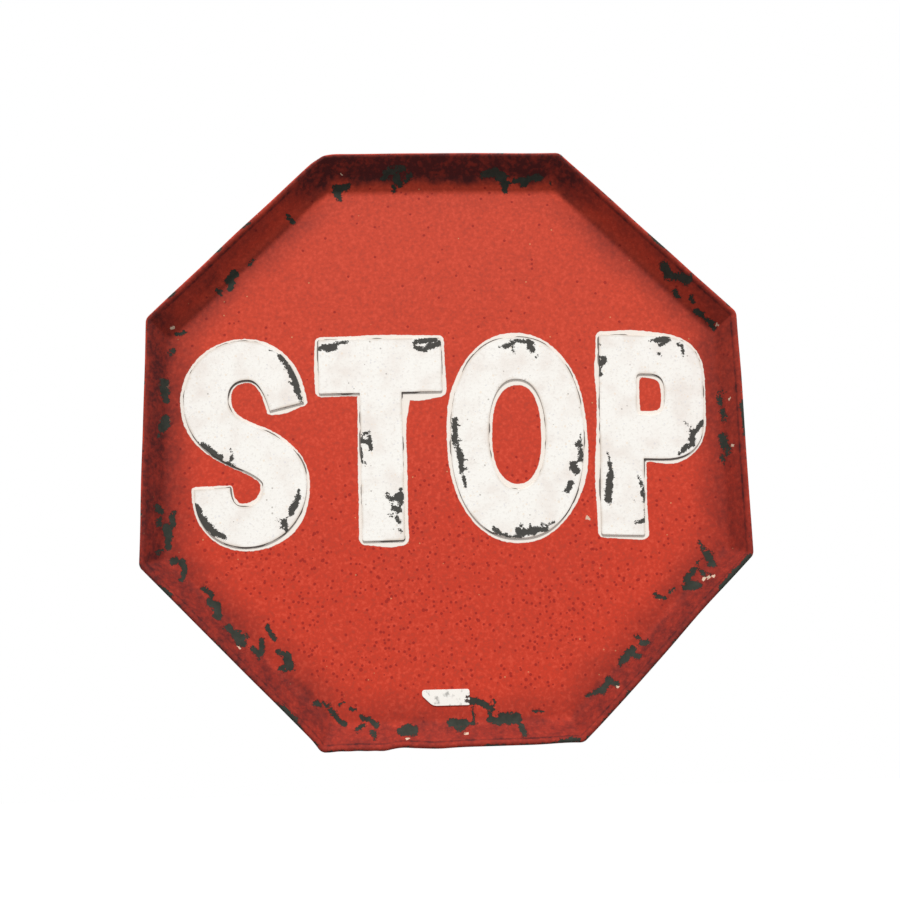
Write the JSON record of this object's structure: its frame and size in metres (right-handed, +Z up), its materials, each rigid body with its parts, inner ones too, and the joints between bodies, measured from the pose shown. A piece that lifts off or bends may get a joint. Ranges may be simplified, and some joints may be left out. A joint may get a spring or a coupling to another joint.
{
  "type": "octagonal stop sign",
  "caption": "Octagonal red wall sign in dished sheet steel with a rolled edge, raised white capital letters, a blank marker plate and ring hangers on its back.",
  "frame": {"origin": "middle of the pan's flat back face, which faces the wall", "axes": "+X to the reader's right, +Z up, -Y towards the reader, +Y into the wall"},
  "size_m": [0.61, 0.0323, 0.61],
  "materials": {
    "red_paint": "satin red paint, airbrushed dark at the rim, speckled and chipped to dark metal",
    "white_paint": "brushed off-white paint, chipped at the edges",
    "zinc": "dull zinc plate",
    "bright_wire": "drawn steel wire",
    "rubber": "matt black rubber"
  },
  "bodies": {
    "sign": {"sign_pan": "red_paint", "rim_wire": "bright_wire", "letter_s": "white_paint", "letter_t": "white_paint", "letter_o": "white_paint", "letter_p": "white_paint", "marker_plate": "white_paint", "push_nut_s_upper": "zinc", "push_nut_s_lower": "zinc", "push_nut_t_upper": "zinc", "push_nut_t_lower": "zinc", "push_nut_o_upper": "zinc", "push_nut_o_lower": "zinc", "push_nut_p_upper": "zinc", "push_nut_p_lower": "zinc", "hanger_strap_left": "zinc", "hanger_strap_right": "zinc", "weld_stud_left_upper": "zinc", "weld_stud_left_lower": "zinc", "weld_stud_right_upper": "zinc", "weld_stud_right_lower": "zinc", "hanger_nut_left_upper": "zinc", "hanger_nut_left_lower": "zinc", "hanger_nut_right_upper": "zinc", "hanger_nut_right_lower": "zinc", "bumper_left": "rubber", "bumper_right": "rubber"},
    "left_ring": {"hanger_ring_left": "bright_wire"},
    "right_ring": {"hanger_ring_right": "bright_wire"}
  },
  "joints": [
    {"name": "left_ring_swing", "type": "hinge", "parent": "sign", "child": "left_ring", "pos_m": [-0.19, 0.0033, 0.178], "axis": [1, 0, 0], "range_deg": [0, 180]},
    {"name": "right_ring_swing", "type": "hinge", "parent": "sign", "child": "right_ring", "pos_m": [0.19, 0.0033, 0.178], "axis": [1, 0, 0], "range_deg": [0, 180]}
  ]
}
